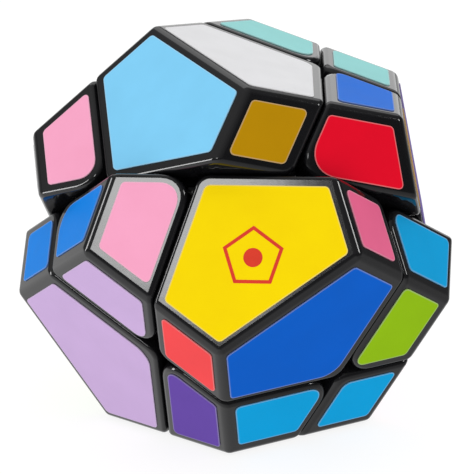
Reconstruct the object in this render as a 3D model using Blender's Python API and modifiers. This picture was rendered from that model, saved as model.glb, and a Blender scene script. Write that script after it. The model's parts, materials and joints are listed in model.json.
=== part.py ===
"""A dodecahedron twisty puzzle that turns about its four screwed corners.

Four planes through the centre, each square to one turning axis, part the dodecahedron into
8 corner pieces and 6 edge pieces. Every piece is a hollow cap on a base. Four corners are
screwed to posts on the core with a spring under each screw. The other bases have a foot that
hooks under their neighbours, in a layer between two balls round the core.

The puzzle frame has the centre of the core at its origin and the turning axes along cube
diagonals. The puzzle stands on one face, and one half is turned part of the way round.
"""

import bmesh
import bpy
from math import cos, pi, radians, sin, sqrt, tan
from mathutils import Matrix, Vector

# Driving dimensions, in metres
EDGE = 0.030
GAP = 0.0003
TWIST = radians(28.2)

CAP_WALL = 0.0018
CAP_SKIRT_RADIUS = 0.0295
CROSSING_RADIUS = 0.0030
BODY_EDGE_RADIUS = 0.0018
RIM_RADIUS = 0.0006
CROSSING_STEPS = 2
BODY_EDGE_STEPS = 1
RIM_STEPS = 1

BASE_STEP = 0.0008
BASE_WALL = 0.0016
BASE_POCKET_FLOOR = 0.0220
SPIGOT_TOP = 0.0310

BODY_INNER_RADIUS = 0.0180
FOOT_INNER_RADIUS = 0.0133
FOOT_TILT = radians(8)
NECK_BOTTOM_RADIUS = 0.0155
NECK_TOP = 0.0190
NECK_INSET = 0.0011
NARROW_NECK_INSET = 0.0032

CORE_WALL = 0.0028
POST_RADIUS = 0.0022
POST_END = 0.0195
BOSS_RADIUS = 0.0032
BOSS_START = 0.0060
PILOT_HOLE_RADIUS = 0.0015

SEAT_START = 0.0198
SEAT_THICKNESS = 0.0015
SEAT_HOLE_RADIUS = 0.0016
WELL_RADIUS = 0.0040

SPRING_RADIUS = 0.0026
SPRING_WIRE_RADIUS = 0.0003
SPRING_LENGTH = 0.0050
SPRING_TURNS = 4
SPRING_STEPS_PER_TURN = 8
WASHER_RADIUS = 0.0036
WASHER_THICKNESS = 0.0006
SCREW_TIP = 0.0070
SHANK_RADIUS = 0.0012
HEAD_RADIUS = 0.0030
HEAD_HEIGHT = 0.0022
SLOT_WIDTH = 0.0007
SLOT_LENGTH = 0.0034
SLOT_DEPTH = 0.0012

# The dodecahedron and its axes in the puzzle frame
GOLDEN = (1 + sqrt(5)) / 2
INRADIUS = EDGE * GOLDEN ** 2 / (2 * sqrt(3 - GOLDEN))
FACE_NORMALS = [
    Vector(normal).normalized()
    for a in (1, -1)
    for b in (GOLDEN, -GOLDEN)
    for normal in ((a, 0, b), (b, a, 0), (0, b, a))
]
TURNING_AXES = [Vector(axis).normalized() for axis in ((1, 1, 1), (1, -1, -1), (-1, 1, -1), (-1, -1, 1))]
TWIST_AXIS = TURNING_AXES[2]
REST_NORMAL = Vector((GOLDEN, -1, 0)).normalized()
FRONT_NORMAL = Vector((-1, 0, GOLDEN)).normalized()

# Half turns that carry the first turning axis to each of the four
HALF_TURNS = [Matrix.Identity(4)] + [Matrix.Rotation(pi, 4, axis) for axis in "XYZ"]
Z_TO_FIRST_AXIS = Vector((0, 0, 1)).rotation_difference(TURNING_AXES[0]).to_matrix().to_4x4()

# Distances from the core's centre of the parts stacked on a screw
SPRING_START = SEAT_START + SEAT_THICKNESS + GAP
WASHER_START = SPRING_START + SPRING_LENGTH + GAP
HEAD_START = WASHER_START + WASHER_THICKNESS + GAP

# Facets of the round surfaces
BALL_SEGMENTS = 32
INNER_BALL_SEGMENTS = 20
HOLLOW_BALL_SEGMENTS = 16
CONE_SEGMENTS = 24
ROUND_SEGMENTS = 12
MERGE_DISTANCE = 1e-6


# ---------------------------------------------------------------- modelling tools

def object_from(bm, name):
    """A scratch object from a bmesh, with its faces pointing out."""
    bmesh.ops.recalc_face_normals(bm, faces=bm.faces)
    mesh = bpy.data.meshes.new(name)
    bm.to_mesh(mesh)
    bm.free()
    scratch = bpy.data.objects.new(name, mesh)
    bpy.context.scene.collection.objects.link(scratch)
    return scratch


def bake(scratch):
    """Applies the modifiers of a scratch object to its mesh."""
    depsgraph = bpy.context.evaluated_depsgraph_get()
    mesh = bpy.data.meshes.new_from_object(scratch.evaluated_get(depsgraph))
    scratch.modifiers.clear()
    scratch.data = mesh


def combine(body, operation, tool):
    """Joins, trims or cuts a body with a tool, which is used up."""
    modifier = body.modifiers.new("combine", "BOOLEAN")
    modifier.operation = operation
    modifier.solver = "EXACT"
    modifier.object = tool
    bake(body)
    bpy.data.objects.remove(tool)


def trim_to_plane(bm, normal, distance):
    """Takes off what lies past a plane and closes the cut."""
    geometry = bm.verts[:] + bm.edges[:] + bm.faces[:]
    cut = bmesh.ops.bisect_plane(
        bm, geom=geometry, dist=MERGE_DISTANCE, clear_outer=True,
        plane_co=normal * distance, plane_no=normal)
    edges = [item for item in cut["geom_cut"] if isinstance(item, bmesh.types.BMEdge)]
    bmesh.ops.edgeloop_fill(bm, edges=edges)


def convex_bmesh(planes):
    """A cube trimmed by planes, each an outward normal and its distance from the origin."""
    bm = bmesh.new()
    bmesh.ops.create_cube(bm, size=4 * INRADIUS)
    for normal, distance in planes:
        trim_to_plane(bm, normal, distance)
    bmesh.ops.recalc_face_normals(bm, faces=bm.faces)
    return bm


def convex_solid(name, planes):
    return object_from(convex_bmesh(planes), name)


def touching_pairs(planes):
    """The pairs of planes that share an edge of the solid that they bound."""
    bm = convex_bmesh(planes)
    owner = {
        face: max(range(len(planes)), key=lambda index: face.normal.dot(planes[index][0]))
        for face in bm.faces
    }
    pairs = {tuple(sorted(owner[face] for face in edge.link_faces)) for edge in bm.edges}
    bm.free()
    return sorted(pairs)


def fillet(first, second, radius, steps):
    """Planes that round the edge between two planes, tangent to an arc of the given radius."""
    (normal_1, distance_1), (normal_2, distance_2) = first, second
    cosine = normal_1.dot(normal_2)
    depth_1 = distance_1 - radius
    depth_2 = distance_2 - radius
    centre = normal_1 * (depth_1 - cosine * depth_2) + normal_2 * (depth_2 - cosine * depth_1)
    centre /= 1 - cosine ** 2
    normals = [normal_1.slerp(normal_2, step / (steps + 1)) for step in range(1, steps + 1)]
    return [(normal, radius + normal.dot(centre)) for normal in normals]


def ball(radius, segments):
    """A ball whose corners lie on the radius, so that it is nowhere larger."""
    bm = bmesh.new()
    bmesh.ops.create_uvsphere(bm, u_segments=segments, v_segments=segments // 2, radius=radius)
    return object_from(bm, "ball")


def hollow_ball(radius, segments):
    """A ball whose flats lie on the radius, so that the hollow it cuts is nowhere smaller."""
    return ball(radius / cos(pi / segments) ** 2, segments)


def rod(radius, start, end):
    """A round bar along the first turning axis, between two distances from the centre."""
    bm = bmesh.new()
    bmesh.ops.create_cone(
        bm, cap_ends=True, segments=ROUND_SEGMENTS, depth=end - start,
        radius1=radius, radius2=radius)
    place = Z_TO_FIRST_AXIS @ Matrix.Translation((0, 0, (start + end) / 2))
    bmesh.ops.transform(bm, matrix=place, verts=bm.verts)
    return object_from(bm, "rod")


def turned(name, profile):
    """A turned solid round Z, from a profile of radius and height pairs that runs top to bottom."""
    bm = bmesh.new()
    points = [bm.verts.new((radius, 0, height)) for radius, height in profile]
    for start, end in zip(points, points[1:]):
        bm.edges.new((start, end))
    mesh = bpy.data.meshes.new(name)
    bm.to_mesh(mesh)
    bm.free()
    scratch = bpy.data.objects.new(name, mesh)
    bpy.context.scene.collection.objects.link(scratch)
    turn = scratch.modifiers.new("turn", "SCREW")
    turn.steps = turn.render_steps = ROUND_SEGMENTS
    turn.use_merge_vertices = True
    turn.merge_threshold = MERGE_DISTANCE
    bake(scratch)
    return scratch


def finish_mesh(scratch, name):
    """Takes the mesh out of a scratch object, shaded smooth on its round surfaces."""
    mesh = scratch.data
    mesh.name = name
    mesh.shade_smooth()
    mesh.set_sharp_from_angle(angle=radians(32))
    bpy.data.objects.remove(scratch)
    return mesh


# ---------------------------------------------------------------- the cells of the puzzle

def cell_cuts(direction):
    """The cuts that bound the cell round a direction: outward normal, and if the cell is in that half."""
    cuts = []
    for axis in TURNING_AXES:
        lean = direction.dot(axis)
        if abs(lean) < 0.9:
            in_half = lean > 0
            cuts.append((-axis if in_half else axis, in_half))
    return cuts


def cell_sides(direction, inset):
    """The side planes of a cell, each drawn in from the cut by an inset."""
    return [(normal, -inset) for normal, _ in cell_cuts(direction)]


def cell_faces(direction, depth):
    """The planes of the dodecahedron's faces over a cell, each sunk by a depth."""
    return [(normal, INRADIUS - depth) for normal in FACE_NORMALS if normal.dot(direction) > 0.4]


def floor_plane(direction, height):
    return [(-direction, -height)]


def rounded_cell(direction):
    """The outside of a cap: a cell with rounded crossing edges, body edges and rims."""
    floor = floor_plane(direction, BODY_INNER_RADIUS)
    sides = cell_sides(direction, GAP / 2)
    faces = cell_faces(direction, 0)
    sharp = sides + faces + floor
    crossing_edges = []
    body_edges = []
    for first, second in touching_pairs(sharp):
        if second < len(sides):
            crossing_edges += fillet(sharp[first], sharp[second], CROSSING_RADIUS, CROSSING_STEPS)
        elif len(sides) <= first and second < len(sides) + len(faces):
            body_edges += fillet(sharp[first], sharp[second], BODY_EDGE_RADIUS, BODY_EDGE_STEPS)
    sides += crossing_edges
    faces += body_edges
    solid = sides + faces + floor
    rims = []
    for first, second in touching_pairs(solid):
        if first < len(sides) <= second < len(sides) + len(faces):
            rims += fillet(solid[first], solid[second], RIM_RADIUS, RIM_STEPS)
    return convex_solid("cell", solid + rims)


def cap_mesh(direction, name):
    """A hollow cap: thin walls under the faces and down the sides as far as the skirt."""
    cap = rounded_cell(direction)
    cavity = cell_sides(direction, GAP / 2 + CAP_WALL) + cell_faces(direction, CAP_WALL)
    cavity += floor_plane(direction, BODY_INNER_RADIUS / 2)
    combine(cap, "DIFFERENCE", convex_solid("cavity", cavity))
    combine(cap, "DIFFERENCE", ball(CAP_SKIRT_RADIUS, BALL_SEGMENTS))
    return finish_mesh(cap, name)


def base_body(direction):
    """The part of a base over the inner ball: a stepped-in block with a spigot for its cap."""
    step_inset = GAP / 2 + BASE_STEP
    spigot_inset = GAP * 3 / 2 + CAP_WALL
    floor = floor_plane(direction, BODY_INNER_RADIUS / 2)
    block = ball(CAP_SKIRT_RADIUS - GAP, BALL_SEGMENTS)
    combine(block, "INTERSECT", convex_solid("block", cell_sides(direction, step_inset) + floor))
    spigot = cell_sides(direction, spigot_inset) + cell_faces(direction, CAP_WALL + GAP)
    spigot += floor + [(direction, SPIGOT_TOP)]
    combine(block, "UNION", convex_solid("spigot", spigot))
    combine(block, "DIFFERENCE", hollow_ball(BODY_INNER_RADIUS, INNER_BALL_SEGMENTS))
    return block


def cut_pocket(base, direction):
    """Hollows a base from its open end."""
    inset = GAP * 3 / 2 + CAP_WALL + BASE_WALL
    planes = cell_sides(direction, inset) + floor_plane(direction, BASE_POCKET_FLOOR)
    combine(base, "DIFFERENCE", convex_solid("pocket", planes))


def foot_cone(normal, clearance):
    """The blunt cone, round the far side of a cut, that the feet in that half keep out of."""
    bm = bmesh.new()
    height = BODY_INNER_RADIUS
    bmesh.ops.create_cone(
        bm, cap_ends=True, segments=CONE_SEGMENTS, depth=height,
        radius1=0, radius2=height / tan(FOOT_TILT))
    apex_shift = clearance / cos(FOOT_TILT)
    turn = Vector((0, 0, 1)).rotation_difference(normal).to_matrix().to_4x4()
    place = turn @ Matrix.Translation((0, 0, height / 2 + apex_shift))
    bmesh.ops.transform(bm, matrix=place, verts=bm.verts)
    bmesh.ops.remove_doubles(bm, verts=bm.verts, dist=MERGE_DISTANCE)
    return object_from(bm, "foot_cone")


def add_foot(base, direction):
    """Adds the neck and the foot that hooks under the neighbours of a base."""
    foot = ball(BODY_INNER_RADIUS - GAP, INNER_BALL_SEGMENTS)
    combine(foot, "DIFFERENCE", hollow_ball(FOOT_INNER_RADIUS, INNER_BALL_SEGMENTS))
    combine(foot, "INTERSECT", convex_solid("sector", floor_plane(direction, FOOT_INNER_RADIUS / 3)))
    neck_planes = floor_plane(direction, FOOT_INNER_RADIUS / 3) + [(direction, NECK_TOP)]
    for normal, in_half in cell_cuts(direction):
        if in_half:
            combine(foot, "DIFFERENCE", foot_cone(normal, -GAP / 2))
            neck_planes.append((normal, -NECK_INSET))
        else:
            combine(foot, "INTERSECT", foot_cone(-normal, GAP / 2))
            neck_planes.append((normal, -NARROW_NECK_INSET))
    neck = convex_solid("neck", neck_planes)
    combine(neck, "DIFFERENCE", ball(NECK_BOTTOM_RADIUS, INNER_BALL_SEGMENTS))
    combine(foot, "UNION", neck)
    combine(base, "UNION", foot)


def footed_base_mesh(direction, name):
    base = base_body(direction)
    cut_pocket(base, direction)
    add_foot(base, direction)
    return finish_mesh(base, name)


def fixed_base_mesh(name):
    """The base of a screwed corner, with its hub, spring seat and screw well on the first axis."""
    base = base_body(TURNING_AXES[0])
    combine(base, "DIFFERENCE", rod(POST_RADIUS + GAP, FOOT_INNER_RADIUS, SEAT_START))
    combine(base, "DIFFERENCE", rod(SEAT_HOLE_RADIUS, FOOT_INNER_RADIUS, SPIGOT_TOP))
    combine(base, "DIFFERENCE", rod(WELL_RADIUS, SEAT_START + SEAT_THICKNESS, 2 * SPIGOT_TOP))
    return finish_mesh(base, name)


# ---------------------------------------------------------------- the core and its fastenings

def core_mesh(name):
    """A hollow ball with four posts and, inside it, the bosses that the screws bite into."""
    radius = FOOT_INNER_RADIUS - GAP
    core = ball(radius, INNER_BALL_SEGMENTS)
    combine(core, "DIFFERENCE", ball(radius - CORE_WALL, HOLLOW_BALL_SEGMENTS))
    for turn in HALF_TURNS:
        for size, start, end in ((BOSS_RADIUS, BOSS_START, radius - CORE_WALL / 2),
                                 (POST_RADIUS, BOSS_START + CORE_WALL, POST_END)):
            bar = rod(size, start, end)
            bar.data.transform(turn)
            combine(core, "UNION", bar)
    for turn in HALF_TURNS:
        hole = rod(PILOT_HOLE_RADIUS, BOSS_START / 2, POST_END * 2)
        hole.data.transform(turn)
        combine(core, "DIFFERENCE", hole)
    return finish_mesh(core, name)


def screw_mesh(name):
    """A pan-head screw along Z, with a crossed driver slot."""
    top = HEAD_START + HEAD_HEIGHT
    crown = [
        (HEAD_RADIUS * sin(angle), top - HEAD_HEIGHT / 2 * (1 - cos(angle)))
        for angle in (radians(degrees) for degrees in range(0, 91, 30))
    ]
    profile = crown + [
        (HEAD_RADIUS, HEAD_START),
        (SHANK_RADIUS, HEAD_START),
        (SHANK_RADIUS, SCREW_TIP + SHANK_RADIUS),
        (0, SCREW_TIP),
    ]
    screw = turned("screw", profile)
    for length, width in ((SLOT_LENGTH, SLOT_WIDTH), (SLOT_WIDTH, SLOT_LENGTH)):
        bm = bmesh.new()
        bmesh.ops.create_cube(bm, size=1)
        bmesh.ops.scale(bm, vec=(length, width, 2 * SLOT_DEPTH), verts=bm.verts)
        bmesh.ops.translate(bm, vec=(0, 0, top), verts=bm.verts)
        combine(screw, "DIFFERENCE", object_from(bm, "slot"))
    return finish_mesh(screw, name)


def washer_mesh(name):
    """A flat washer along Z."""
    washer = turned("washer", [
        (SEAT_HOLE_RADIUS, WASHER_START + WASHER_THICKNESS),
        (WASHER_RADIUS, WASHER_START + WASHER_THICKNESS),
        (WASHER_RADIUS, WASHER_START),
        (SEAT_HOLE_RADIUS, WASHER_START),
        (SEAT_HOLE_RADIUS, WASHER_START + WASHER_THICKNESS),
    ])
    return finish_mesh(washer, name)


def spring_curve(name):
    """A compression spring along Z: a round wire on a helix."""
    curve = bpy.data.curves.new(name, "CURVE")
    curve.dimensions = "3D"
    curve.bevel_depth = SPRING_WIRE_RADIUS
    curve.bevel_resolution = 2
    curve.use_fill_caps = True
    count = int(SPRING_TURNS * SPRING_STEPS_PER_TURN) + 1
    spline = curve.splines.new("POLY")
    spline.points.add(count - 1)
    start = SPRING_START + SPRING_WIRE_RADIUS
    rise = SPRING_LENGTH - 2 * SPRING_WIRE_RADIUS
    for index, point in enumerate(spline.points):
        angle = 2 * pi * index / SPRING_STEPS_PER_TURN
        height = start + rise * index / (count - 1)
        point.co = (SPRING_RADIUS * cos(angle), SPRING_RADIUS * sin(angle), height, 1)
    return curve


# ---------------------------------------------------------------- assembly

def material(name, colour, roughness, metallic):
    finish = bpy.data.materials.new(name)
    finish.use_nodes = True
    shader = finish.node_tree.nodes["Principled BSDF"]
    shader.inputs["Base Color"].default_value = (*colour, 1)
    shader.inputs["Roughness"].default_value = roughness
    shader.inputs["Metallic"].default_value = metallic
    return finish


for old in list(bpy.data.objects):
    bpy.data.objects.remove(old)

collection = bpy.data.collections.new("dodecahedron_twisty_puzzle")
bpy.context.scene.collection.children.link(collection)

# The puzzle stands on its rest face, with the front face turned towards -Y
up = -REST_NORMAL
back = -(FRONT_NORMAL - FRONT_NORMAL.dot(up) * up).normalized()
puzzle_to_world = Matrix((back.cross(up), back, up)).to_4x4()

core_half = bpy.data.objects.new("core_half", None)
core_half.matrix_world = Matrix.Translation((0, 0, INRADIUS)) @ puzzle_to_world
turning_half = bpy.data.objects.new("turning_half", None)
turning_half.parent = core_half
turning_half.matrix_local = Matrix.Rotation(TWIST, 4, TWIST_AXIS)
for empty in (core_half, turning_half):
    collection.objects.link(empty)


def place(name, data, turn, parent, finish):
    """Puts a piece in its half, turned about the core's centre."""
    if not data.materials:
        data.materials.append(None)
    piece = bpy.data.objects.new(name, data)
    piece.parent = parent
    piece.matrix_local = turn
    piece.material_slots[0].link = "OBJECT"
    piece.material_slots[0].material = material(name, *finish)
    collection.objects.link(piece)


SHELL_FINISH = ((0.012, 0.012, 0.014), 0.18, 0.0)
BASE_FINISH = ((0.020, 0.020, 0.022), 0.35, 0.0)
CORE_FINISH = ((0.60, 0.60, 0.58), 0.40, 0.0)
STEEL_FINISH = ((0.55, 0.56, 0.58), 0.30, 1.0)

place("core", core_mesh("core"), Matrix.Identity(4), core_half, CORE_FINISH)

corner_direction = TURNING_AXES[0]
edge_direction = Vector((0, 0, 1))
fixed_cap = cap_mesh(corner_direction, "fixed_corner_cap")
loose_cap = cap_mesh(-corner_direction, "loose_corner_cap")
edge_cap = cap_mesh(edge_direction, "edge_cap")
fixed_base = fixed_base_mesh("fixed_corner_base")
loose_base = footed_base_mesh(-corner_direction, "loose_corner_base")
edge_base = footed_base_mesh(edge_direction, "edge_base")
screw = screw_mesh("screw")
washer = washer_mesh("washer")
spring = spring_curve("spring")

for number, turn in enumerate(HALF_TURNS, start=1):
    fixed_half = turning_half if (turn @ corner_direction).dot(TWIST_AXIS) > 0 else core_half
    loose_half = turning_half if (turn @ -corner_direction).dot(TWIST_AXIS) > 0 else core_half
    place(f"fixed_corner_cap_{number}", fixed_cap, turn, fixed_half, SHELL_FINISH)
    place(f"fixed_corner_base_{number}", fixed_base, turn, fixed_half, BASE_FINISH)
    place(f"loose_corner_cap_{number}", loose_cap, turn, loose_half, SHELL_FINISH)
    place(f"loose_corner_base_{number}", loose_base, turn, loose_half, BASE_FINISH)
    place(f"spring_{number}", spring, turn @ Z_TO_FIRST_AXIS, fixed_half, STEEL_FINISH)
    place(f"washer_{number}", washer, turn @ Z_TO_FIRST_AXIS, core_half, STEEL_FINISH)
    place(f"screw_{number}", screw, turn @ Z_TO_FIRST_AXIS, core_half, STEEL_FINISH)

# An edge piece on +Z is carried to each axis by thirds of a turn, and to its far end by a half turn
edge_turns = []
for thirds, flip in ((0, HALF_TURNS[1]), (1, HALF_TURNS[2]), (2, HALF_TURNS[1])):
    to_axis = Matrix.Rotation(thirds * 2 * pi / 3, 4, corner_direction)
    edge_turns += [to_axis, flip @ to_axis]
for number, turn in enumerate(edge_turns, start=1):
    half = turning_half if (turn @ edge_direction).dot(TWIST_AXIS) > 0 else core_half
    place(f"edge_cap_{number}", edge_cap, turn, half, SHELL_FINISH)
    place(f"edge_base_{number}", edge_base, turn, half, BASE_FINISH)
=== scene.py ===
"""A dodecahedron twisty puzzle that stands on one face, part of the way through a turn."""

import json
from math import radians, sqrt, tan

import bmesh
import bpy
from mathutils import Matrix, Vector


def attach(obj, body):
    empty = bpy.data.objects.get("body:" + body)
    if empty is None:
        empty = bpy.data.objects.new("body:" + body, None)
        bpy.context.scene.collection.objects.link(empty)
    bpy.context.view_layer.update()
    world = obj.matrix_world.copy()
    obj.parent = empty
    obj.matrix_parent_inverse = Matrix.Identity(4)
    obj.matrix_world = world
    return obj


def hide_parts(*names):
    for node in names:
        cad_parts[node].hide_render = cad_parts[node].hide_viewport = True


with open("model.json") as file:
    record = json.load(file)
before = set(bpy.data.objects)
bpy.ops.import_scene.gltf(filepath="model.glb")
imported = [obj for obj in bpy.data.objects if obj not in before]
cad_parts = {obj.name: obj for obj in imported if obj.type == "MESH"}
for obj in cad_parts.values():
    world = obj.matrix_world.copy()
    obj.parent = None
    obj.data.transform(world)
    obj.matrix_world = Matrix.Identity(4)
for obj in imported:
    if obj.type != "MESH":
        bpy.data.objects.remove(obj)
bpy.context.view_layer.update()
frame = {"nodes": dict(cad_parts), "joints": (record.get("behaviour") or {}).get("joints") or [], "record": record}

# ------------------------------------------------------------------ core and fastenings
# The core is a pale nylon ball with four posts. A zinc-plated screw runs into each post
# through a stamped washer and a spring of drawn wire, and holds one corner down on the core.


def add_node(tree, kind, inputs=None, **settings):
    """Adds a shader node. Each of its inputs takes a value, or the output that feeds it."""
    node = tree.nodes.new(kind)
    for setting, value in settings.items():
        setattr(node, setting, value)
    for label, value in (inputs or {}).items():
        if isinstance(value, bpy.types.NodeSocket):
            tree.links.new(value, node.inputs[label])
        else:
            node.inputs[label].default_value = value
    return node


def new_material(name, colour, metallic=0.0):
    """A node material with its Principled shader, ready for its detail."""
    material = bpy.data.materials.new(name)
    material.use_nodes = True
    shader = material.node_tree.nodes["Principled BSDF"]
    shader.inputs["Base Color"].default_value = (*colour, 1)
    shader.inputs["Metallic"].default_value = metallic
    return material, shader


def build_handling_group():
    """Handling marks: smudges and scratches that dull the gloss, and an uneven moulded skin."""
    group = bpy.data.node_groups.new("handling_marks", "ShaderNodeTree")
    usual_values = {
        "gloss": 0.15, "smudged": 0.30, "smudge_scale": 40.0, "scratch_scale": 260.0,
        "skin_scale": 900.0, "skin_depth": 0.15}
    for label, value in usual_values.items():
        socket = group.interface.new_socket(label, in_out="INPUT", socket_type="NodeSocketFloat")
        socket.default_value = value
    for label in ("roughness", "height"):
        group.interface.new_socket(label, in_out="OUTPUT", socket_type="NodeSocketFloat")
    given = add_node(group, "NodeGroupInput").outputs
    place = add_node(group, "ShaderNodeTexCoord").outputs["Object"]

    smudges = add_node(group, "ShaderNodeTexNoise", {
        "Vector": place, "Scale": given["smudge_scale"], "Detail": 4, "Roughness": 0.65})
    smudge_mask = add_node(group, "ShaderNodeMapRange", {
        "Value": smudges.outputs["Fac"], "From Min": 0.45, "From Max": 0.75},
        interpolation_type="SMOOTHSTEP")

    drawn_out = add_node(group, "ShaderNodeMapping", {
        "Vector": place, "Rotation": (0.5, 0.9, 0.3), "Scale": (1.0, 9.0, 0.6)})
    scratches = add_node(group, "ShaderNodeTexNoise", {
        "Vector": drawn_out.outputs["Vector"], "Scale": given["scratch_scale"], "Detail": 3})
    scratch_mask = add_node(group, "ShaderNodeMapRange", {
        "Value": scratches.outputs["Fac"], "From Min": 0.66, "From Max": 0.74})

    marks = add_node(group, "ShaderNodeMath", {
        0: smudge_mask.outputs["Result"], 1: scratch_mask.outputs["Result"]}, operation="MAXIMUM")
    roughness = add_node(group, "ShaderNodeMapRange", {
        "Value": marks.outputs["Value"], "To Min": given["gloss"], "To Max": given["smudged"]})

    skin = add_node(group, "ShaderNodeTexNoise", {
        "Vector": place, "Scale": given["skin_scale"], "Detail": 2})
    height = add_node(group, "ShaderNodeMath", {
        0: skin.outputs["Fac"], 1: given["skin_depth"]}, operation="MULTIPLY")
    add_node(group, "NodeGroupOutput", {
        "roughness": roughness.outputs["Result"], "height": height.outputs["Value"]})
    return group


handling_group = build_handling_group()


def add_handling(material, shader, bump_distance, **values):
    """Puts the handling marks on a material, with its own values for the group's inputs."""
    tree = material.node_tree
    marks = add_node(tree, "ShaderNodeGroup", values, node_tree=handling_group)
    bump = add_node(tree, "ShaderNodeBump", {
        "Distance": bump_distance, "Height": marks.outputs["height"]})
    tree.links.new(marks.outputs["roughness"], shader.inputs["Roughness"])
    tree.links.new(bump.outputs["Normal"], shader.inputs["Normal"])


def speckle(material, shader, colour, change, scale):
    """Breaks up a colour a little, as pigment and flow lines do in a moulding."""
    tree = material.node_tree
    place = add_node(tree, "ShaderNodeTexCoord").outputs["Object"]
    noise = add_node(tree, "ShaderNodeTexNoise", {"Vector": place, "Scale": scale, "Detail": 5})
    ramp = add_node(tree, "ShaderNodeValToRGB", {"Fac": noise.outputs["Fac"]})
    darker, lighter = ramp.color_ramp.elements
    darker.position, lighter.position = 0.3, 0.7
    darker.color = (*(part * (1 - change) for part in colour), 1)
    lighter.color = (*(min(1, part * (1 + change)) for part in colour), 1)
    tree.links.new(ramp.outputs["Color"], shader.inputs["Base Color"])
    return ramp.outputs["Color"]


def dress(node, material):
    """Gives a CAD node its finished material."""
    for slot in frame["nodes"][node].material_slots:
        slot.material = material


nylon_colour = (0.60, 0.60, 0.57)
nylon, nylon_shader = new_material("core_nylon", nylon_colour)
speckle(nylon, nylon_shader, nylon_colour, change=0.06, scale=220)
add_handling(
    nylon, nylon_shader, bump_distance=0.00005, gloss=0.38, smudged=0.5, skin_scale=1400)
dress("core", nylon)

steel_finishes = (
    ("screw", "zinc_plate", (0.56, 0.57, 0.58), 0.22),
    ("washer", "stamped_steel", (0.52, 0.52, 0.53), 0.32),
    ("spring", "drawn_wire", (0.48, 0.49, 0.51), 0.26),
)
for part, name, colour, gloss in steel_finishes:
    steel, steel_shader = new_material(name, colour, metallic=1.0)
    speckle(steel, steel_shader, colour, change=0.10, scale=600)
    add_handling(
        steel, steel_shader, bump_distance=0.00002,
        gloss=gloss, smudged=gloss + 0.2, scratch_scale=900.0)
    for number in range(1, 5):
        dress(f"{part}_{number}", steel)

# ------------------------------------------------------------------ bases
# Satin black mouldings under the caps. Their stepped-in walls are what shows between the halves
# where a corner stands out, and their feet hook under the neighbouring bases.

base_colour = (0.014, 0.014, 0.016)
base_plastic, base_shader = new_material("base_plastic", base_colour)
speckle(base_plastic, base_shader, base_colour, change=0.25, scale=150)
add_handling(base_plastic, base_shader, bump_distance=0.00004, gloss=0.28, smudged=0.42)
for node in frame["nodes"]:
    if "_base_" in node:
        dress(node, base_plastic)

# ------------------------------------------------------------------ caps
# Fourteen glossy black shells, eight over the corners and six over the edges of the body. Each is
# moulded in one piece: thin faces, rounded body edges, broken rims, and side walls that follow the
# cuts down to a ball-shaped lower edge. They are pressed on to the bases.

golden = (1 + sqrt(5)) / 2
turning_axes = [
    Vector(axis).normalized() for axis in ((1, 1, 1), (1, -1, -1), (-1, 1, -1), (-1, -1, 1))
]
face_signs = [
    signs for a in (1, -1) for b in (1, -1)
    for signs in ((a, 0, b), (b, a, 0), (0, b, a))
]

# Cosines of how far directions may part: a piece's from the faces that it carries, a corner's from
# its own turning axis, and two that are the same
carried_face = 0.4
own_axis = 0.9
same_way = 0.999


def face_normal(signs):
    """Normal of the body face on the side that the signs give."""
    normal = list(signs)
    normal[(signs.index(0) + 1) % 3] *= golden
    return Vector(normal).normalized()


def piece_faces(direction):
    """Outward normals of the body faces that a piece carries."""
    normals = [face_normal(signs) for signs in face_signs]
    return [normal for normal in normals if normal.dot(direction) > carried_face]


def piece_cuts(direction):
    """Outward normals of the cuts that bound a piece, which is all but a corner's own."""
    leans = [(axis, direction.dot(axis)) for axis in turning_axes]
    return [-axis if lean > 0 else axis for axis, lean in leans if abs(lean) < own_axis]


# The pieces are shaped in the puzzle's own directions, in which a cut runs square to every turning
# axis, and then placed. The puzzle stands on one face, so its centre is as high as its faces are
# far from it. Its front face looks towards -Y, and one half is turned part of the way.
half_turned_by = radians(28.2)

centre = Vector(frame["joints"][0]["pos_m"])
inradius = centre.z
up = -face_normal((1, -1, 0))
front = face_normal((-1, 0, 1))
back = -(front - front.dot(up) * up).normalized()
core_half_place = Matrix.Translation(centre) @ Matrix((back.cross(up), back, up)).to_4x4()
half_place = {
    "core_half": core_half_place,
    "turning_half": core_half_place @ Matrix.Rotation(half_turned_by, 4, turning_axes[2]),
}
node_body = {
    node: body
    for body, nodes in frame["record"]["behaviour"]["bodies"].items()
    for node in nodes
}

edge_directions = ((0, 0, 1), (0, 0, -1), (1, 0, 0), (-1, 0, 0), (0, 1, 0), (0, -1, 0))
piece_direction = {}
for number, axis in enumerate(turning_axes, start=1):
    piece_direction[f"fixed_corner_cap_{number}"] = axis
    piece_direction[f"loose_corner_cap_{number}"] = -axis
for number, direction in enumerate(edge_directions, start=1):
    piece_direction[f"edge_cap_{number}"] = Vector(direction)

cut_gap = 0.00015
cap_wall = 0.0018
skirt_radius = 0.0295
skirt_column = 0.0015
rounding_at_crossing = {"edge": 0.0021, "corner": 0.0062}
body_rounding = 0.0011
rim_rounding = 0.0010
inner_body_rounding = 0.0004
inner_rim_rounding = 0.0003
sharp_from = radians(40)
side_tag, face_tag, floor_tag = range(3)


def cut_away(bm, point, normal):
    """Takes off what lies past a plane, and returns the edges of the cut."""
    cut = bmesh.ops.bisect_plane(
        bm, geom=bm.verts[:] + bm.edges[:] + bm.faces[:], dist=1e-7, clear_outer=True,
        plane_co=point, plane_no=normal)
    return [item for item in cut["geom_cut"] if isinstance(item, bmesh.types.BMEdge)]


def trim(bm, normal, distance):
    """Takes off what lies past a plane and closes the cut."""
    rim = cut_away(bm, normal * distance, normal)
    bmesh.ops.edgeloop_fill(bm, edges=rim)


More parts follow.
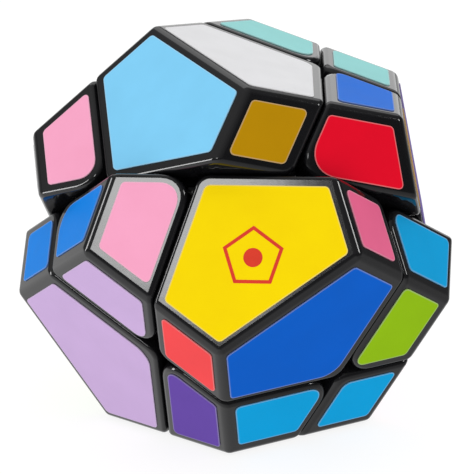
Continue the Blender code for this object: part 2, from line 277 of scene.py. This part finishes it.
def round_between(bm, tags, offset, segments):
    """Rounds the edges that faces of the two tags share; the new faces take the second tag."""
    edges = [
        edge for edge in bm.edges
        if sorted(face.material_index for face in edge.link_faces) == sorted(tags)
    ]
    made = bmesh.ops.bevel(
        bm, geom=edges, offset=offset, offset_type="OFFSET", segments=segments, profile=0.5,
        affect="EDGES", clamp_overlap=True, material=-1)
    for face in made["faces"]:
        face.material_index = tags[1]


def cap_skin(direction, inset, at_crossing, at_body_edge, at_rim, segments):
    """One skin of a cap, trimmed from a cube, rounded, and drawn down at its sides to the skirt."""
    normals = piece_faces(direction)
    bm = bmesh.new()
    bmesh.ops.create_cube(bm, size=4 * inradius)
    for normal in piece_cuts(direction):
        trim(bm, normal, -cut_gap - inset)
    for normal in normals:
        trim(bm, normal, inradius - inset)
    # Of the sides only the rounded rims are kept, so for now they end on a flat floor
    trim(bm, -direction, -inradius / 2)
    bmesh.ops.recalc_face_normals(bm, faces=bm.faces)
    for face in bm.faces:
        if face.normal.dot(direction) < -same_way:
            face.material_index = floor_tag
        elif max(face.normal.dot(normal) for normal in normals) > same_way:
            face.material_index = face_tag
        else:
            face.material_index = side_tag
    round_between(bm, (side_tag, side_tag), at_crossing, segments + 2)
    round_between(bm, (face_tag, face_tag), at_body_edge, segments)
    round_between(bm, (side_tag, face_tag), at_rim, segments - 1)
    spare = [face for face in bm.faces if face.material_index != face_tag]
    bmesh.ops.delete(bm, geom=spare, context="FACES")
    for edge in [edge for edge in bm.edges if edge.is_boundary]:
        columns = int(edge.calc_length() / skirt_column)
        if columns:
            bmesh.ops.subdivide_edges(bm, edges=[edge], cuts=columns)
    rim = [edge for edge in bm.edges if edge.is_boundary]
    skirt = bmesh.ops.extrude_edge_only(bm, edges=rim)
    for item in skirt["geom"]:
        if isinstance(item, bmesh.types.BMVert):
            item.co = item.co.normalized() * skirt_radius
    bmesh.ops.recalc_face_normals(bm, faces=bm.faces)
    return bm


def turn_skin(bm, outwards):
    """Turns a skin's faces all outwards or all inwards."""
    lean = sum(face.normal.dot(face.calc_center_median()) * face.calc_area() for face in bm.faces)
    if (lean > 0) != outwards:
        bmesh.ops.reverse_faces(bm, faces=bm.faces)


def finish_mesh(bm, name):
    """Makes a mesh of a bmesh that is done with."""
    mesh = bpy.data.meshes.new(name)
    bm.to_mesh(mesh)
    bm.free()
    return mesh


def cap_mesh(name, direction, at_crossing):
    """A cap: its outer skin and its inner one, joined round the skirt."""
    cap = cap_skin(
        direction, 0.0, at_crossing, body_rounding, rim_rounding, segments=5)
    inner = cap_skin(
        direction, cap_wall, at_crossing / 2, inner_body_rounding, inner_rim_rounding, segments=3)
    turn_skin(cap, outwards=True)
    turn_skin(inner, outwards=False)
    inner_mesh = finish_mesh(inner, name + "_inner")
    cap.from_mesh(inner_mesh)
    bpy.data.meshes.remove(inner_mesh)
    bmesh.ops.bridge_loops(cap, edges=[edge for edge in cap.edges if edge.is_boundary])
    for face in cap.faces:
        face.material_index = 0
        face.smooth = True
    mesh = finish_mesh(cap, name)
    mesh.set_sharp_from_angle(angle=sharp_from)
    return mesh


def add_piece(name, mesh, body, material):
    """Links a finished piece, which rides on a body and takes its finish from a slot."""
    mesh.materials.append(material)
    piece = bpy.data.objects.new(name, mesh)
    bpy.context.scene.collection.objects.link(piece)
    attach(piece, body)
    return piece


shell_colour = (0.006, 0.006, 0.007)
shell_plastic, shell_shader = new_material("shell_plastic", shell_colour)
shell_shader.inputs["IOR"].default_value = 1.54
speckle(shell_plastic, shell_shader, shell_colour, change=0.2, scale=90)
add_handling(
    shell_plastic, shell_shader, bump_distance=0.00002,
    gloss=0.08, smudged=0.13, smudge_scale=55.0, skin_scale=700.0, skin_depth=0.12)

for node, direction in piece_direction.items():
    at_crossing = rounding_at_crossing["edge" if node.startswith("edge") else "corner"]
    mesh = cap_mesh(node + "_shell", direction, at_crossing)
    mesh.transform(half_place[node_body[node]])
    cap = add_piece(node + "_shell", mesh, node_body[node], shell_plastic)
    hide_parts(node)
    even = cap.modifiers.new("even_shading", "WEIGHTED_NORMAL")
    even.keep_sharp = True
    even.weight = 100

# ------------------------------------------------------------------ stickers
# Forty-eight stickers cut from coloured vinyl: twelve large five-sided ones, twelve small ones
# over the other faces of the edge pieces, and three on each corner. A paler line along each cut
# edge is a painted highlight.

sticker_thickness = 0.00018
sticker_margin = 0.0018
# Width of the ring along the cut edge that carries the painted highlight
cut_edge_highlight_width = 0.00018
corner_radius = 0.0009
# The painted highlight along the cut edge: the grey that it is mixed towards, and how far
cut_edge_highlight_tone = 0.6
cut_edge_highlight_share = 0.25

# Some entries are one vinyl painted as lit and shaded copies: a lighter copy of the red with painted light on it,
# a darker copy of the pink in painted shade, and two darker copies of the azure, blue among them, in painted
# shade.
vinyl_colours = {
    "white": (231, 231, 233), "yellow": (255, 221, 0), "gold": (184, 136, 2),
    "red": (228, 9, 39), "coral": (245, 76, 79), "rose": (227, 102, 142),
    "pink": (255, 170, 203), "lavender": (203, 174, 219), "purple": (101, 70, 165),
    "blue": (0, 91, 196), "bright_blue": (0, 110, 222), "azure": (14, 133, 233),
    "cyan": (0, 157, 216), "light_blue": (133, 212, 252), "teal": (150, 218, 216),
    "green": (141, 185, 10),
}

# For each face of each piece, keyed by the side of the body that it is on: the colour, and how
# far in millimetres the corner over the crossing is rounded
sticker_cuts = {
    "edge_cap_1": {
        (-1, 0, 1): ("yellow", 1.3), (1, 0, 1): ("blue", 4.0),
        (0, -1, 1): ("coral", 1.0), (0, 1, 1): ("rose", 1.0)},
    "edge_cap_2": {
        (-1, 0, -1): ("gold", 1.3), (1, 0, -1): ("red", 4.0),
        (0, -1, -1): ("light_blue", 1.0), (0, 1, -1): ("white", 1.0)},
    "edge_cap_3": {
        (1, -1, 0): ("teal", 4.0), (1, 1, 0): ("pink", 1.3),
        (1, 0, 1): ("cyan", 2.0), (1, 0, -1): ("yellow", 1.0)},
    "edge_cap_4": {
        (-1, -1, 0): ("light_blue", 1.3), (-1, 1, 0): ("white", 2.0),
        (-1, 0, 1): ("gold", 1.0), (-1, 0, -1): ("green", 1.0)},
    "edge_cap_5": {
        (0, 1, 1): ("purple", 4.0), (0, 1, -1): ("cyan", 1.3),
        (-1, 1, 0): ("teal", 1.0), (1, 1, 0): ("lavender", 1.0)},
    "edge_cap_6": {
        (0, -1, 1): ("lavender", 4.0), (0, -1, -1): ("green", 4.0),
        (-1, -1, 0): ("azure", 1.5), (1, -1, 0): ("purple", 1.0)},
    "fixed_corner_cap_1": {
        (1, 0, 1): ("green", 1.8), (0, 1, 1): ("cyan", 2.0), (1, 1, 0): ("lavender", 2.0)},
    "fixed_corner_cap_2": {
        (1, -1, 0): ("white", 4.0), (1, 0, -1): ("green", 2.0), (0, -1, -1): ("yellow", 2.0)},
    "fixed_corner_cap_3": {
        (-1, 1, 0): ("teal", 3.0), (-1, 0, -1): ("purple", 2.0), (0, 1, -1): ("gold", 4.0)},
    "fixed_corner_cap_4": {
        (-1, 0, 1): ("pink", 3.2), (0, -1, 1): ("lavender", 2.0), (-1, -1, 0): ("azure", 4.0)},
    "loose_corner_cap_1": {
        (-1, -1, 0): ("pink", 3.0), (-1, 0, -1): ("yellow", 4.0), (0, -1, -1): ("white", 2.0)},
    "loose_corner_cap_2": {
        (-1, 0, 1): ("red", 4.5), (-1, 1, 0): ("bright_blue", 1.5), (0, 1, 1): ("gold", 2.0)},
    "loose_corner_cap_3": {
        (0, -1, 1): ("purple", 2.0), (1, 0, 1): ("cyan", 2.6), (1, -1, 0): ("light_blue", 2.0)},
    "loose_corner_cap_4": {
        (1, 0, -1): ("light_blue", 2.0), (1, 1, 0): ("red", 4.0), (0, 1, -1): ("teal", 2.0)},
}

# Cut and laid by hand, many are a little off: millimetres round the piece, towards its middle,
# and cut away all round
sticker_slips = {
    "edge_cap_1": {
        (-1, 0, 1): (-0.1, 0.2, 0.0), (1, 0, 1): (0.5, 0.0, 0.0),
        (0, -1, 1): (-0.1, 0.1, 0.0), (0, 1, 1): (-0.3, 0.0, 0.2)},
    "edge_cap_3": {(1, 0, 1): (0.2, -0.2, 0.0)},
    "edge_cap_4": {
        (-1, -1, 0): (0.0, 0.3, 0.2), (-1, 1, 0): (0.5, 0.8, 0.0), (-1, 0, 1): (0.4, 0.1, 0.1)},
    "edge_cap_6": {(0, -1, 1): (0.2, 0.2, 0.0), (-1, -1, 0): (0.9, -0.4, 0.1)},
    "fixed_corner_cap_1": {(1, 0, 1): (0.8, -0.4, -0.1), (0, 1, 1): (0.3, -0.2, 0.0)},
    "fixed_corner_cap_4": {
        (-1, 0, 1): (0.1, -0.5, 0.0), (0, -1, 1): (0.2, 0.0, -0.1), (-1, -1, 0): (0.4, -0.3, 0.2)},
    "loose_corner_cap_1": {(-1, -1, 0): (-0.4, -0.6, 0.0)},
    "loose_corner_cap_2": {(-1, 0, 1): (0.1, -0.8, -0.2), (-1, 1, 0): (0.3, 0.1, 0.0)},
    "loose_corner_cap_3": {(1, 0, 1): (-0.4, -0.6, 0.0)},
}
laid_true = (0.0, 0.0, 0.0)


def linear(colour):
    """A display colour from 0 to 255 as the linear values that a shader takes."""
    parts = [part / 255 for part in colour]
    return tuple(
        part / 12.92 if part <= 0.04045 else ((part + 0.055) / 1.055) ** 2.4 for part in parts)


def vinyl(name, colour):
    """Vinyl with an even colour, a faint grain, and a painted highlight along its cut edge."""
    material, shader = new_material("vinyl_" + name, colour)
    shader.inputs["Specular IOR Level"].default_value = 0.03
    tree = material.node_tree
    even_colour = speckle(material, shader, colour, change=0.03, scale=120)
    cut_edge = add_node(tree, "ShaderNodeAttribute", attribute_name="cut_edge")
    # Painted highlight: the ring along the cut edge is mixed towards a paler grey
    paler = tuple(
        (1 - cut_edge_highlight_share) * part + cut_edge_highlight_share * cut_edge_highlight_tone for part in colour)
    edged = add_node(tree, "ShaderNodeMix", {
        "Factor": cut_edge.outputs["Fac"], "A": even_colour, "B": (*paler, 1)}, data_type="RGBA")
    tree.links.new(edged.outputs["Result"], shader.inputs["Base Color"])
    add_handling(
        material, shader, bump_distance=0.00001,
        gloss=0.42, smudged=0.50, smudge_scale=30.0, skin_scale=1800.0)
    return material


def thicken(bm, lift):
    """Gives a flat outline a thickness, which is as long as the lift and runs its way."""
    made = bmesh.ops.extrude_face_region(bm, geom=bm.faces[:])
    lifted = [item for item in made["geom"] if isinstance(item, bmesh.types.BMVert)]
    bmesh.ops.translate(bm, vec=lift, verts=lifted)


def sticker_outline(direction, normal, crossing_radius, margin):
    """The outline of one face of a piece, drawn in by a margin and rounded at its corners."""
    bm = bmesh.new()
    bmesh.ops.create_grid(bm, x_segments=1, y_segments=1, size=2 * inradius)
    turn = Vector((0, 0, 1)).rotation_difference(normal).to_matrix().to_4x4()
    bmesh.ops.transform(bm, matrix=Matrix.Translation(normal * inradius) @ turn, verts=bm.verts)
    cuts = piece_cuts(direction)
    other_faces = [other for other in piece_faces(direction) if other.dot(normal) < same_way]
    borders = [(cut, -cut_gap) for cut in cuts] + [(other, inradius) for other in other_faces]
    crossing_sides = []
    for border, distance in borders:
        outwards = border - border.dot(normal) * normal
        reach = (distance - inradius * border.dot(normal)) / outwards.length - margin
        outwards.normalize()
        cut_away(bm, normal * inradius + outwards * reach, outwards)
        if border in cuts:
            crossing_sides.append((outwards, reach))
    for corner in list(bm.verts):
        on_side = [abs(corner.co.dot(side) - reach) < 1e-6 for side, reach in crossing_sides]
        at_crossing = sum(on_side) == 2
        radius = crossing_radius if at_crossing else corner_radius
        arms = [(edge.other_vert(corner).co - corner.co).normalized() for edge in corner.link_edges]
        half_angle = arms[0].angle(arms[1]) / 2
        bmesh.ops.bevel(
            bm, geom=[corner], offset=radius / tan(half_angle), offset_type="OFFSET",
            segments=10 if at_crossing else 5, profile=0.5, affect="VERTICES", clamp_overlap=True,
            material=-1)
    return bm


def sticker_mesh(name, direction, normal, crossing_radius, slip):
    """A sticker: its outline thickened, laid where it slipped to, with its cut edge marked for the painted
    highlight.
    """
    along, inwards, cut_off = slip
    round_piece = normal.cross(direction).normalized()
    bm = sticker_outline(direction, normal, crossing_radius, sticker_margin + cut_off)
    thicken(bm, normal * sticker_thickness)
    shift = round_piece * along + round_piece.cross(normal) * inwards
    bmesh.ops.translate(bm, vec=shift, verts=bm.verts)
    bmesh.ops.recalc_face_normals(bm, faces=bm.faces)
    # Marks the ring along the cut edge, where the painted highlight goes
    cut_edge = bm.faces.layers.float.new("cut_edge")
    top = max(bm.faces, key=lambda face: face.calc_center_median().dot(normal))
    bmesh.ops.inset_region(bm, faces=[top], thickness=cut_edge_highlight_width, use_even_offset=True)
    for face in bm.faces:
        face[cut_edge] = 1.0
    top[cut_edge] = 0.0
    return finish_mesh(bm, name)


vinyls = {name: vinyl(name, linear(colour)) for name, colour in vinyl_colours.items()}
for node, cuts in sticker_cuts.items():
    slips = sticker_slips.get(node, {})
    for number, (signs, (colour, crossing_radius)) in enumerate(cuts.items(), start=1):
        name = f"{node.replace('_cap', '_sticker')}_{number}_{colour}"
        slip = [part / 1000 for part in slips.get(signs, laid_true)]
        mesh = sticker_mesh(
            name, piece_direction[node], face_normal(signs), crossing_radius / 1000, slip)
        mesh.transform(half_place[node_body[node]])
        add_piece(name, mesh, node_body[node], vinyls[colour])

# ------------------------------------------------------------------ emblem
# A plain printed mark on the yellow sticker: a five-sided ring with a dot in it, in red ink.

emblem_radius = 0.0056
emblem_line = 0.0006
emblem_dot = 0.3 * emblem_radius
emblem_right = 0.0055
emblem_down = 0.0085
ink_thickness = 0.00003
ink_colour = linear((222, 60, 40))

bm = bmesh.new()
bmesh.ops.create_circle(bm, cap_ends=True, segments=5, radius=emblem_radius)
bmesh.ops.inset_region(
    bm, faces=bm.faces[:], thickness=emblem_line, use_even_offset=True, use_boundary=True)
middle = min(bm.faces, key=lambda face: face.calc_center_median().length)
bmesh.ops.delete(bm, geom=[middle], context="FACES")
bmesh.ops.create_circle(bm, cap_ends=True, segments=40, radius=emblem_dot)
thicken(bm, Vector((0, 0, ink_thickness)))
bmesh.ops.recalc_face_normals(bm, faces=bm.faces)
emblem_mesh = finish_mesh(bm, "emblem")

outwards = core_half_place.to_3x3() @ front
rightwards = Vector((1, 0, 0))
upwards = outwards.cross(rightwards)
foot = centre + outwards * (inradius + sticker_thickness)
foot += rightwards * emblem_right - upwards * emblem_down
facing = Matrix((rightwards, upwards, outwards)).transposed().to_4x4()
emblem_mesh.transform(Matrix.Translation(foot) @ facing)

red_ink, ink_shader = new_material("red_ink", ink_colour)
ink_shader.inputs["Specular IOR Level"].default_value = 0.1
speckle(red_ink, ink_shader, ink_colour, change=0.06, scale=400)
add_handling(red_ink, ink_shader, bump_distance=0.00001, gloss=0.4, smudged=0.5)
add_piece("emblem", emblem_mesh, "core_half", red_ink)

# ------------------------------------------------------------------ floor
# A pale sheet in even light, which runs out of sight all round. The puzzle stands on it with its
# lowest sticker, and the sheet is kept out of the plastic's gloss.

floor_reach = 6
floor_glow = 0.86

bm = bmesh.new()
bmesh.ops.create_grid(bm, x_segments=1, y_segments=1, size=floor_reach)
bmesh.ops.translate(bm, vec=(0, 0, -sticker_thickness), verts=bm.verts)
floor_mesh = finish_mesh(bm, "floor")
floor_paper, floor_shader = new_material("floor_paper", (0.2, 0.2, 0.2))
floor_shader.inputs["Roughness"].default_value = 0.9
floor_shader.inputs["Specular IOR Level"].default_value = 0.1
floor_shader.inputs["Emission Color"].default_value = (1, 1, 1, 1)
floor_shader.inputs["Emission Strength"].default_value = floor_glow
floor_mesh.materials.append(floor_paper)
floor = bpy.data.objects.new("floor", floor_mesh)
bpy.context.scene.collection.objects.link(floor)
floor.visible_glossy = False

# ------------------------------------------------------------------ studio
# An even white room lights the colours. What the gloss mirrors of it is mostly darker, and changes
# with height and from left to right. Five softboxes show in the gloss only: one above the camera
# and to its left, a strip on each side, and panels behind and above.

room_light = 0.94
room_backdrop = 1.05
mirrored_left, mirrored_right = 2.2, 0.6
mirrored_tones = ((0.0, 0.52), (0.40, 0.52), (0.55, 0.12), (0.68, 0.08), (0.80, 0.18), (1.0, 0.30))

world = bpy.data.worlds.new("white_studio")
bpy.context.scene.world = world
world.use_nodes = True
room = world.node_tree
ray = add_node(room, "ShaderNodeLightPath").outputs
towards = add_node(room, "ShaderNodeTexCoord").outputs["Generated"]
towards_parts = add_node(room, "ShaderNodeSeparateXYZ", {"Vector": towards}).outputs
height = add_node(room, "ShaderNodeMapRange", {"Value": towards_parts["Z"], "From Min": -1})
tone = add_node(room, "ShaderNodeValToRGB", {"Fac": height.outputs["Result"]})
stops = tone.color_ramp.elements
tone.color_ramp.interpolation = "EASE"
for stop, _ in mirrored_tones[1:-1]:
    stops.new(stop)
for element, (stop, grey) in zip(stops, mirrored_tones):
    element.color = (grey, grey, grey, 1)
across = add_node(room, "ShaderNodeMapRange", {
    "Value": towards_parts["X"], "From Min": -1,
    "To Min": mirrored_left, "To Max": mirrored_right})
mirrored = add_node(room, "ShaderNodeMath", {
    0: tone.outputs["Color"], 1: across.outputs["Result"]}, operation="MULTIPLY")
plain = add_node(room, "ShaderNodeMapRange", {
    "Value": ray["Is Camera Ray"], "To Min": room_light, "To Max": room_backdrop})
strength = add_node(room, "ShaderNodeMapRange", {
    "Value": ray["Is Glossy Ray"],
    "To Min": plain.outputs["Result"], "To Max": mirrored.outputs["Value"]})
white = room.nodes["Background"]
white.inputs["Color"].default_value = (1, 1, 1, 1)
room.links.new(strength.outputs["Result"], white.inputs["Strength"])

softboxes = (
    ("key_softbox", (-0.160, -0.86, 0.668), (0.20, 0.19), 1.16),
    ("left_strip", (-0.98, -0.30, 0.36), (0.22, 0.62), 4.5),
    ("right_strip", (0.98, -0.12, 0.62), (0.18, 0.40), 2.6),
    ("back_panel", (0.0, 2.0, 0.45), (2.4, 0.9), 8.0),
    ("top_panel", (0.0, 0.95, 1.15), (1.7, 0.8), 4.4),
)
for name, place, size, watts in softboxes:
    light = bpy.data.lights.new(name, "AREA")
    light.shape = "RECTANGLE"
    light.size, light.size_y = size
    light.energy = watts
    softbox = bpy.data.objects.new(name, light)
    softbox.location = place
    softbox.rotation_euler = (centre - Vector(place)).to_track_quat("-Z", "Y").to_euler()
    softbox.visible_diffuse = False
    bpy.context.scene.collection.objects.link(softbox)

# ------------------------------------------------------------------ camera
# A long lens from three quarters of a metre away, a little to the right and looking down.

camera_data = bpy.data.cameras.new("camera")
camera_data.lens = 316.73
camera = bpy.data.objects.new("camera", camera_data)
camera.location = (0.06495, -0.71444, 0.28693)
camera.rotation_euler = [radians(angle) for angle in (70.4731, 0.7775, 4.9444)]
bpy.context.scene.collection.objects.link(camera)
bpy.context.scene.camera = camera
bpy.context.scene.view_settings.view_transform = "Standard"

# ------------------------------------------------------------------ scene update

bpy.context.view_layer.update()
